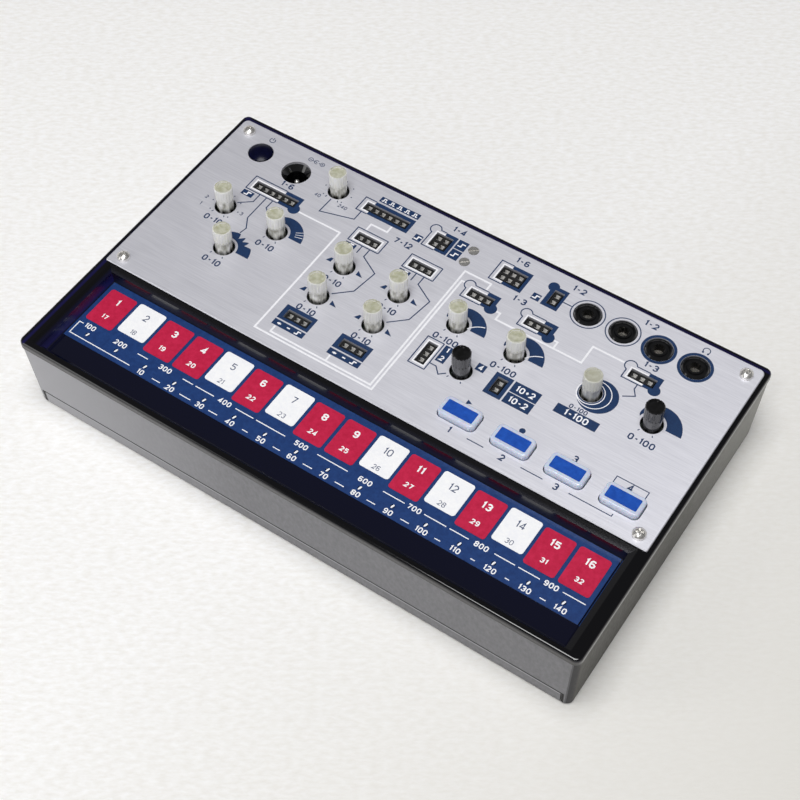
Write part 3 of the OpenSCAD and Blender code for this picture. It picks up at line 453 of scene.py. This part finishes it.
class Print:
    """One colour of ink, laid on a face at height z; all measures in millimetres."""

    def __init__(self, name, z, ink, thick=0.02):
        self.name, self.z, self.ink, self.thick = name, z, ink, thick
        self.mesh = bmesh.new()
        self.windows = []
        self.count = 0

    def patch(self, points):
        """One outline, not cut by any window."""
        area = sum(a[0] * b[1] - b[0] * a[1] for a, b in zip(points, points[1:] + points[:1]))
        if area < 0:
            points = points[::-1]
        # each outline ends a hair higher than the last, so that no two faces lie in one plane
        self.count += 1
        height = self.z + self.thick + HAIR * (self.count % HAIR_STEPS)
        top = [self.mesh.verts.new((x * MM, y * MM, height * MM)) for x, y in points]
        low = [self.mesh.verts.new((x * MM, y * MM, self.z * MM)) for x, y in points]
        self.mesh.faces.new(top)
        self.mesh.faces.new(low[::-1])
        for i in range(len(points)):
            j = (i + 1) % len(points)
            self.mesh.faces.new((low[i], low[j], top[j], top[i]))

    def fill(self, points):
        """A convex outline, kept off the openings of the panel."""
        parts = [points]
        for window in self.windows:
            parts = [q for p in parts for q in clear_of(p, window)]
        for part in parts:
            self.patch(part)

    def line(self, points, width, closed=False):
        """A line of one width along the points, mitred at its corners."""
        pts = [Vector(p) for p in points]
        n = len(pts)
        left, right = [], []
        for i, p in enumerate(pts):
            before = pts[i - 1] if (closed or i > 0) else None
            after = pts[(i + 1) % n] if (closed or i < n - 1) else None
            d0 = (p - before).normalized() if before is not None else (after - p).normalized()
            d1 = (after - p).normalized() if after is not None else d0
            n0, n1 = Vector((-d0.y, d0.x)), Vector((-d1.y, d1.x))
            mid = (n0 + n1).normalized()
            reach = width / 2 / max(0.35, mid.dot(n0))
            left.append(p + mid * reach)
            right.append(p - mid * reach)
        for i in range(n if closed else n - 1):
            j = (i + 1) % n
            self.patch([tuple(right[i]), tuple(right[j]), tuple(left[j]), tuple(left[i])])

    def fan(self, x, y, inner, outer, start, end, steps=36):
        """A band round a knob between two radii; outer may be a function of the turn, 0 to 1."""
        reach = outer if callable(outer) else (lambda t: outer)
        for i in range(steps):
            t0, t1 = i / steps, (i + 1) / steps
            a0, a1 = (start + (end - start) * t for t in (t0, t1))
            r0, r1 = max(reach(t0), inner + 0.02), max(reach(t1), inner + 0.02)
            self.patch([polar(x, y, inner, a0), polar(x, y, inner, a1),
                        polar(x, y, r1, a1), polar(x, y, r0, a0)])

    def number(self, text, x, y, height, weight=0.19, squeeze=0.52):
        """Plain figures centred on a point, in bold condensed strokes."""
        width, gap, pen = height * squeeze, height * (squeeze * 0.3 + weight), height * weight
        wide = [width * (0.35 if sign == "1" else 0.7 if sign in "-+" else 1.0) for sign in text]
        left = x - (sum(wide) + gap * (len(text) - 1)) / 2
        tall = height - pen
        for sign, span in zip(text, wide):
            for stroke in FIGURES[sign]:
                closed = stroke[0] == stroke[-1]
                points = [(left + u * span, y + (v - 0.5) * tall) for u, v in stroke]
                self.line(points[:-1] if closed else points, pen, closed)
            left += span + gap

    def done(self):
        """Turns the print into a piece that rides on the case."""
        data = bpy.data.meshes.new(self.name)
        self.mesh.to_mesh(data)
        self.mesh.free()
        data.materials.append(self.ink)
        piece = bpy.data.objects.new(self.name, data)
        scene.collection.objects.link(piece)
        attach(piece, "case")


# Height of the panel's face, widths of its lines, and the measures of a block of sockets
PANEL_Z = 30.2
THIN, MEDIUM = 0.36, 0.6
PIN = 2.54
ROW_W = 2.5
SOCKET_GAP = 0.45

# Openings of the patch sockets: centre x, centre y, columns, rows
BLOCKS = [(-66.95, 33.05, 6, 1), (-32.35, 44.9, 6, 1), (-31.4, 33, 3, 1), (-11.3, 33, 3, 1),
          (-31.4, -4.5, 3, 1), (-11.3, -4.5, 3, 1), (-12.1, 45, 2, 2), (13.75, 45, 3, 2),
          (29.3, 45, 1, 2), (10.05, 33, 3, 1), (30.15, 33, 3, 1), (7.85, 6.1, 1, 3),
          (32, 7.5, 1, 2), (65.7, 33, 3, 1)]


def opening(block):
    """The window that the panel leaves round a block of sockets."""
    x, y, across, deep = block
    long_x = across >= deep
    w = (across * PIN if long_x else ROW_W + (across - 1) * PIN) / 2 + SOCKET_GAP
    d = (ROW_W + (deep - 1) * PIN if long_x else deep * PIN) / 2 + SOCKET_GAP
    return x - w, x + w, y - d, y + d


navy = Print("panel_print_navy", PANEL_Z, ink_navy)
white = Print("panel_print_white", PANEL_Z, ink_white, 0.016)
marks = Print("panel_marks_white", PANEL_Z, ink_white, 0.034)
navy.windows = white.windows = marks.windows = [opening(b) for b in BLOCKS]


def outlet(left, split, right, low, high, ball=None, disc=None):
    """The frame round a block of sockets: outlined where signals go in, solid where they come out."""
    if left < split:
        if ball:
            bx, by, br = ball
            xa = bx + math.sqrt(br * br - (high - by) ** 2)
            ya = by - math.sqrt(br * br - (left - bx) ** 2)
            a0 = math.degrees(math.atan2(high - by, xa - bx))
            a1 = math.degrees(math.atan2(ya - by, left - bx)) % 360
            path = [(split, high), (xa, high)] + around(bx, by, br, a0, a1, 24)[1:-1] + [(left, ya)]
        else:
            path = [(split, high), (left, high)]
        navy.line(path + [(left, low), (split, low)], THIN)
        for x0, x1, y0, y1 in navy.windows:
            if left < x0 < right and low < y0 < high:
                white.fill(box(x0 - 0.5, min(split, x1 + 0.5), y0 - 0.5, y1 + 0.5))
    if split < right:
        navy.fill(box(split, right, low, high))
    if disc:
        navy.fill(around(*disc))


def pulse(x, y, half_w, half_h, pen):
    """A rising step, drawn in white on a navy plate."""
    marks.line([(x - half_w, y - half_h), (x, y - half_h),
                (x, y + half_h), (x + half_w, y + half_h)], pen)


outlet(-76.7, -64.4, -57.8, 30.2, 36.1, disc=(-58.4, 31.0, 2.0))
outlet(-42.1, -38.0, -23.1, 42.0, 48.0)
for x in (-31.35, -11.2):
    outlet(x - 5.65, x + 5.65, x + 5.65, 30.2, 36.1)
    navy.line([(x + 5.65, 30.2), (x + 5.65, 36.1)], THIN)
for x in (-31.6, -11.45):
    outlet(x - 5.6, x - 5.6, x + 5.6, -7.2, -1.4)
    navy.fill(box(x - 5.6, x + 5.6, -10.0, -7.75))
    # a plus, a minus and a pulse for what comes out of each hole
    marks.number("+", x - 3.4, -8.9, 1.9, 0.22, 1.0)
    marks.number("-", x, -8.9, 1.9, 0.22, 1.0)
    pulse(x + 3.3, -8.9, 1.0, 0.5, 0.42)
outlet(-16.8, -12.3, -8.0, 41.0, 49.2, ball=(-16.2, 48.8, 1.8))
navy.fill(box(-7.5, -4.0, 41.0, 44.9))
navy.fill(box(-7.5, -4.0, 45.3, 49.2))
outlet(7.9, 12.3, 19.1, 40.9, 49.3)
outlet(26.2, 26.2, 31.9, 40.8, 49.3, disc=(26.6, 48.8, 1.8))
for x in (4.3, 24.45):
    outlet(x, x + 7.0, x + 11.3, 30.2, 36.1, ball=(x + 0.5, 35.4, 1.8), disc=(x + 10.6, 30.8, 2.0))
outlet(4.9, 10.6, 10.6, 0.6, 11.8)
navy.line([(10.6, 0.6), (10.6, 11.8)], THIN)
navy.fill(box(11.3, 14.2, 5.3, 11.8))
navy.fill(box(22.9, 25.8, 8.9, 11.7))
navy.fill(box(29.0, 34.9, 3.3, 11.8))
navy.fill(box(35.5, 44.4, 3.3, 7.4))
navy.fill(box(35.5, 44.4, 7.7, 11.8))
outlet(60.1, 66.9, 71.4, 30.3, 36.0, ball=(60.7, 35.3, 1.9), disc=(70.7, 30.9, 1.9))

# Small plates with a wave mark
for x0, x1, y0, y1 in ((-76.7, -72.6, 27.3, 29.5), (-37.0, -33.0, 27.6, 29.4),
                       (-16.85, -12.85, 27.6, 29.4), (-20.3, -17.6, 41.0, 43.8), (22.6, 25.4, 41.0, 43.7)):
    navy.fill(box(x0, x1, y0, y1))
    pulse((x0 + x1) / 2, (y0 + y1) / 2, 1.2, 0.55, 0.45)
navy.fill(box(-37.8, -23.1, 48.7, 51.0))
for i in range(5):
    cx = -36.2 + i * 2.85
    marks.line([(cx - 0.95, 49.3), (cx - 0.35, 49.3), (cx - 0.35, 50.45), (cx + 0.35, 50.45),
                (cx + 0.35, 49.3), (cx + 0.95, 49.3)], 0.34)
for cy in (42.9, 47.3):
    pulse(-5.8, cy, 1.2, 0.6, 0.42)

# Thin links from the sockets to their knobs
THIN_LINKS = [
    [(-71.0, 30.2), (-71.0, 26.5), (-75.0, 23.4)],
    [(-68.4, 30.2), (-68.4, 20.0), (-66.1, 16.2), (-66.6, 13.6)],
    [(-66.0, 30.2), (-66.0, 26.6), (-64.0, 25.0)],
    [(-40.0, 42.0), (-40.0, 38.0), (-51.2, 34.8), (-51.0, 41.0)],
    [(31.9, 45.1), (35.0, 45.1)],
    [(10.6, 3.6), (12.9, 3.6), (15.0, 1.4), (16.8, 3.0)],
    [(65.6, 30.3), (65.6, 28.3), (67.1, 26.2), (63.9, 24.2)],
]
for shift in (0.0, 20.1):
    THIN_LINKS += [
        [(-31.5 + shift, 30.2), (-31.5 + shift, 26.9)],
        [(-28.7 + shift, 30.2), (-28.7 + shift, 26.8), (-22.0 + shift, 23.0), (-23.4 + shift, 13.8),
         (-28.5 + shift, 9.2)],
    ]
for path in THIN_LINKS:
    navy.line(path, THIN)

# White signal paths
WHITE_PATHS = [
    [(-56.5, 30.9), (-40.5, 30.9), (-40.5, -13.9), (1.8, -13.9), (1.8, 35.4), (2.9, 35.4)],
    [(-35.5, -10.2), (-35.5, -12.7), (0.6, -12.7), (0.6, 39.2), (10.0, 39.2), (10.0, 36.4)],
    [(16.9, 30.9), (18.3, 30.9), (18.3, 28.2), (47.9, 28.2), (47.9, 35.3), (58.7, 35.3)],
    [(37.0, 30.9), (38.3, 30.9), (38.3, 28.5)],
    [(-28.3, 41.9), (-28.3, 39.2), (-34.3, 39.2), (-34.3, 36.4)],
    [(-15.4, -10.2), (-15.4, -12.4)],
]
for path in WHITE_PATHS:
    white.line(path, MEDIUM)

# Growing bands beside the knobs, and the marks under them
BAND_FOOT = 4.3


def growing(most, teeth=()):
    """The outer radius of a band that widens as it goes round, with a notch at each tooth."""
    def reach(t):
        notches = sum(max(0, 1 - abs(t * 8 - tooth) * 2.2) for tooth in teeth)
        return BAND_FOOT + 0.1 + most * t ** 0.7 - 2.1 * notches
    return reach


navy.fan(*KNOB_AT["mod"], BAND_FOOT, growing(4.7), 165, 0)
for turn in (14, 22, 30):
    marks.line([polar(*KNOB_AT["mod"], 6.0, turn), polar(*KNOB_AT["mod"], 8.6, turn)], 0.16)
navy.fan(*KNOB_AT["fold"], BAND_FOOT, growing(4.6, (4.55, 5.4, 6.25)), 165, 0, 72)
for name in ("cutoff_a", "cutoff_b"):
    x, y = KNOB_AT[name]
    navy.fan(x, y, BAND_FOOT, growing(4.9), 170, 0)
    marks.line(around(x + 9.5, y - 3.7, 7.4, 148, 105, 12), 0.3)
navy.fan(*KNOB_AT["volume"], BAND_FOOT, growing(4.9), 170, 0)
# a navy swell of three growing rounds to the right of the amount knob
SWELL = [(0.0, 4.2), (1.15, 5.15), (2.35, 6.2)]


def swell_reach(t):
    """How far the outer round lies from the knob's middle, at an angle that goes once round."""
    a = 2 * math.pi * t
    return SWELL[2][0] * math.cos(a) + math.sqrt(SWELL[2][1] ** 2 - (SWELL[2][0] * math.sin(a)) ** 2)


x, y = KNOB_AT["amount"]
navy.fan(x, y, 3.6, swell_reach, 0, 360, 64)
for shift, r in SWELL[:2]:
    marks.line(around(x + shift, y, r, -180, 180, 48), 0.28, closed=True)
# a low and a high wedge at the ends of each function knob's turn
for name in ("attack", "shape", "release", "time"):
    x, y = KNOB_AT[name]
    navy.patch([(x - 6.5, y - 0.7), (x - 4.7, y - 0.7), (x - 4.7, y + 0.9), (x - 5.4, y + 0.9)])
    navy.patch([(x + 4.7, y - 0.8), (x + 7.1, y - 0.8), (x + 4.7, y + 1.0)])
# ticks at both ends of a turn, and dots round the tempo and ratio knobs
for name, (x, y) in KNOB_AT.items():
    if name != "amount":
        for turn in (240, 300):
            navy.line([polar(x, y, 4.1, turn), polar(x, y, 4.8, turn)], 0.3)
for i in range(7):
    for name in ("tempo", "ratio"):
        navy.fill(around(*polar(*KNOB_AT[name], 4.9, 225 - 45 * i), 0.22, steps=10))

# Rings round the cable jacks: thin round the first two, broad round the others
for i, (inner, outer) in enumerate(((5.15, 5.5), (5.15, 5.5), (4.5, 5.45), (4.5, 5.45))):
    navy.fan(40.5 + 12.1 * i, 45.1, inner, outer, 0, 360, 56)

# Push buttons: go, store, and a framed second row
navy.fill([(27.4, -3.15), (29.2, -2.3), (27.4, -1.45)])
navy.fill(around(46.1, -2.3, 0.95, steps=24))
navy.line(box(76.2, 86.4, -3.7, -0.8), 0.28, closed=True)
for x0, x1 in ((34.2, 39.8), (52.1, 59.3)):
    navy.line([(x0, -13.3), (x1, -13.3)], 0.3)
navy.line([(67.7, -13.3), (81.3, -13.3), (81.3, -12.4)], 0.3)

# Standby mark by the power button, polarity mark by the power socket, ear mark by the last jack
navy.line(around(-81.8, 51.75, 0.95, 125, 415, 20), 0.26)
navy.line([(-81.8, 51.9), (-81.8, 53.0)], 0.26)
for x in (-66.4, -61.9):
    navy.line(around(x, 51.7, 0.75), 0.2, closed=True)
    navy.line([(x - 0.4, 51.7), (x + 0.4, 51.7)], 0.2)
navy.line([(-61.9, 51.3), (-61.9, 52.1)], 0.2)
navy.line(around(-64.15, 51.7, 0.75, 40, 320), 0.2)
navy.fill(around(-64.15, 51.7, 0.25, steps=10))
navy.line([(-65.6, 51.7), (-64.15, 51.7)], 0.2)
navy.line([(-63.35, 51.7), (-62.65, 51.7)], 0.2)
navy.line(around(76.8, 52.4, 1.1, -35, 215, 20), 0.28)
navy.fill(around(75.95, 51.5, 0.34, steps=10))
navy.fill(around(77.65, 51.5, 0.34, steps=10))

# Plain figures at the controls and the sockets
PANEL_FIGURES = [
    ("0-10", -77.2, 13.6), ("0-10", -57.1, 13.6), ("0-10", -67.2, -0.4),
    ("0-10", -31.4, 13.4), ("0-10", -11.3, 13.4), ("0-10", -31.4, -0.2),
    ("0-10", -11.3, -0.2), ("0-100", 9.9, 13.4), ("0-100", 30.0, 13.4),
    ("0-100", 76.2, 13.2), ("1-6", -66.0, 38.3), ("7-12", -21.6, 38.1),
    ("1-4", -9.4, 52.0), ("1-6", 13.7, 52.0), ("1-2", 33.9, 51.9),
    ("1-2", 58.6, 52.1), ("1-3", 65.9, 38.3), ("1-3", 20.6, 38.5),
    ("1", 28.4, -13.4), ("2", 46.0, -13.4), ("3", 63.6, -13.4),
    ("3", 63.6, -2.3), ("4", 81.3, -2.25),
]
for text, x, y in PANEL_FIGURES:
    navy.number(text, x, y, 2.3)
for text, x, y in (("1", -84.6, 16.9), ("2", -84.6, 20.2), ("4", -83.6, 23.6), ("3", -71.0, 20.3),
                   ("40", -55.6, 40.2), ("240", -46.0, 40.2)):
    navy.number(text, x, y, 1.4, 0.15)
navy.number("0-100", 55.7, 13.0, 1.6)
for text, x, y, size in (("1", 12.75, 10.3, 1.9), ("2", 12.75, 6.9, 1.9), ("4", 24.35, 10.3, 1.9),
                         ("10+2", 39.95, 9.75, 2.2), ("10-2", 39.95, 5.35, 2.2)):
    marks.number(text, x, y, size)
navy.fill(box(49.6, 63.5, 8.6, 12.0))
marks.number("1-100", 56.5, 10.3, 2.3)

# Touch strip: figures on the keys, then two rows of settings
STRIP_Z = 25.8
KEY_TOP = 25.92
PITCH = 11.077
UPPER_ROW, LOWER_ROW = -38.9, -43.8
WHITE_KEYS = (2, 5, 7, 10, 12, 14)


def key_x(i):
    """The middle of a key, counted from 1 at the left."""
    return (i - 8.5) * PITCH


on_red = Print("key_figures_white", KEY_TOP, film_white)
on_white = Print("key_figures_slate", KEY_TOP, film_slate)
for i in range(1, 17):
    sheet = on_white if i in WHITE_KEYS else on_red
    sheet.number(str(i), key_x(i), -27.1, 2.5, 0.13 if i in WHITE_KEYS else 0.2)
    # a second plain figure, lower on the key
    sheet.number(str(i + 16), key_x(i), -33.4, 1.7, 0.12 if i in WHITE_KEYS else 0.2)

strip = Print("strip_print_white", STRIP_Z, film_white)
LIGHT_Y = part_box("key_lights")[0][1] / MM + 0.7
glint_sheet = Print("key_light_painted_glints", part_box("key_lights")[1][2] / MM, film_white)
# a painted highlight, a leaning white oval, on each key light
for i in range(1, 17):
    glint_sheet.patch([(key_x(i) + 0.3 * math.cos(a) + 0.22 * math.sin(a), LIGHT_Y + 0.8 * math.sin(a))
               for a in (math.radians(15 * k) for k in range(24))])
strip.line([(-86.9, UPPER_ROW), (-88.4, UPPER_ROW), (-88.4, -43.7), (-65.2, -43.7)], 0.3)
for x0, x1 in ((-65.9, -62), (-48.8, -45), (-44, -37.2), (-29.3, -22.8), (-21.8, -11.4), (0, 10.6),
               (22.7, 30), (36.5, 43.8), (44.9, 51.2), (59.5, 66.1), (67.1, 74), (81.2, 88.3)):
    strip.line([(x0, UPPER_ROW), (x1, UPPER_ROW)], 0.3)
for x0, x1 in ((-56.5, -53.5), (-46.2, -42.2), (-35.5, -32.3), (-23.2, -21.2), (-12.2, -9.7),
               (-1.6, 1.6), (9.5, 12.6), (20.4, 23.3), (31.8, 34.6), (43.1, 45), (54.8, 56.2), (65.8, 67.2),
               (76.8, 78.7)):
    strip.line([(x0, LOWER_ROW), (x1, LOWER_ROW)], 0.3)
for n, x in enumerate((-84.2, -72.5, -55.4, -33.2, -5.7, 16.6, 33.2, 55.3, 77.6), 1):
    strip.number(str(100 * n), x, UPPER_ROW, 1.8)
for n, x in enumerate((-60.9, -49.9, -38.8, -27.7, -16.6, -5.6, 5.5, 16.6, 27.6, 38.7, 49.8, 61.0, 72.1,
                       83.2), 1):
    strip.number(str(10 * n), x, LOWER_ROW, 1.8)

for sheet in (navy, white, marks, on_red, on_white, strip, glint_sheet):
    sheet.done()


# Studio

floor_mesh = bpy.data.meshes.new("floor")
floor_mesh.from_pydata([(-3, -3, 0), (3, -3, 0), (3, 3, 0), (-3, 3, 0)], [], [(0, 1, 2, 3)])
floor = bpy.data.objects.new("floor", floor_mesh)
# the nap of the cloth lies level with the picture
floor.rotation_euler = (0.0, 0.0, 0.586)
scene.collection.objects.link(floor)
pale_floor, tree, shader = surface("pale_cloth_floor", Roughness=0.9)
vary(tree, shader, "#f1efeb", "#ffffff", 1.2, (0.4, 1, 1), 4.0, bump=0.4, depth=0.3)
# painted falloff of the light: the cloth is painted greyer toward the near right
spot = spot_and_lean(tree)[0]
painted_falloff = ramp(tree, math_node(tree, "SUBTRACT", spot["Y"], spot["X"]), 0.0, -0.24)
tree.links.new(blend(tree, painted_falloff, painted(shader), srgb("#e4e2dc")), shader.inputs["Base Color"])
floor_mesh.materials.append(pale_floor)

world = bpy.data.worlds.new("studio")
scene.world = world
world.use_nodes = True
tree = world.node_tree
tree.nodes.clear()
way = add(tree, "ShaderNodeTexCoord")
rise = add(tree, "ShaderNodeSeparateXYZ", {0: way.outputs["Generated"]})
# Pale walls in front and to the left, darker ones behind, under a dim ceiling that the gloss of
# the cover shows as near black
fade = ramp(tree, rise.outputs["Z"], 0.05, 0.4, 1.1, 0.13)
toward = add(tree, "ShaderNodeVectorMath", {0: way.outputs["Generated"], 1: (-0.45, -0.89, 0.0)},
             operation="DOT_PRODUCT")
side = ramp(tree, toward.outputs["Value"], -0.8, 0.8, 0.7, 1.0)
sky = add(tree, "ShaderNodeBackground", {"Color": srgb("#f3f2f4"), "Strength": times(tree, fade, side)})
add(tree, "ShaderNodeOutputWorld", {"Surface": sky.outputs[0]})


def lamp(name, place, target, size, watts, colour):
    """A round area light aimed at a point."""
    data = bpy.data.lights.new(name, "AREA")
    data.shape = "DISK"
    data.size, data.energy, data.color = size, watts, srgb(colour)[:3]
    light = bpy.data.objects.new(name, data)
    light.location = place
    light.rotation_euler = (Vector(target) - Vector(place)).to_track_quat("-Z", "Y").to_euler()
    scene.collection.objects.link(light)


lamp("overhead_softbox", (0.08, -0.25, 1.65), (0, 0, 0), 1.0, 20.8, "#ffffff")
lamp("front_panel_light", (0.12, -0.85, 1.3), (0, 0, 0), 0.25, 2.5, "#ffffff")
lamp("left_softbox", (-0.7, -0.75, 0.9), (0, 0, 0), 0.5, 0.7, "#fffefc")
lamp("near_panel", (-0.3, -0.36, 0.2), (-0.09, -0.06, 0.01), 0.2, 0.15, "#ffffff")

scene.view_settings.view_transform = "Standard"
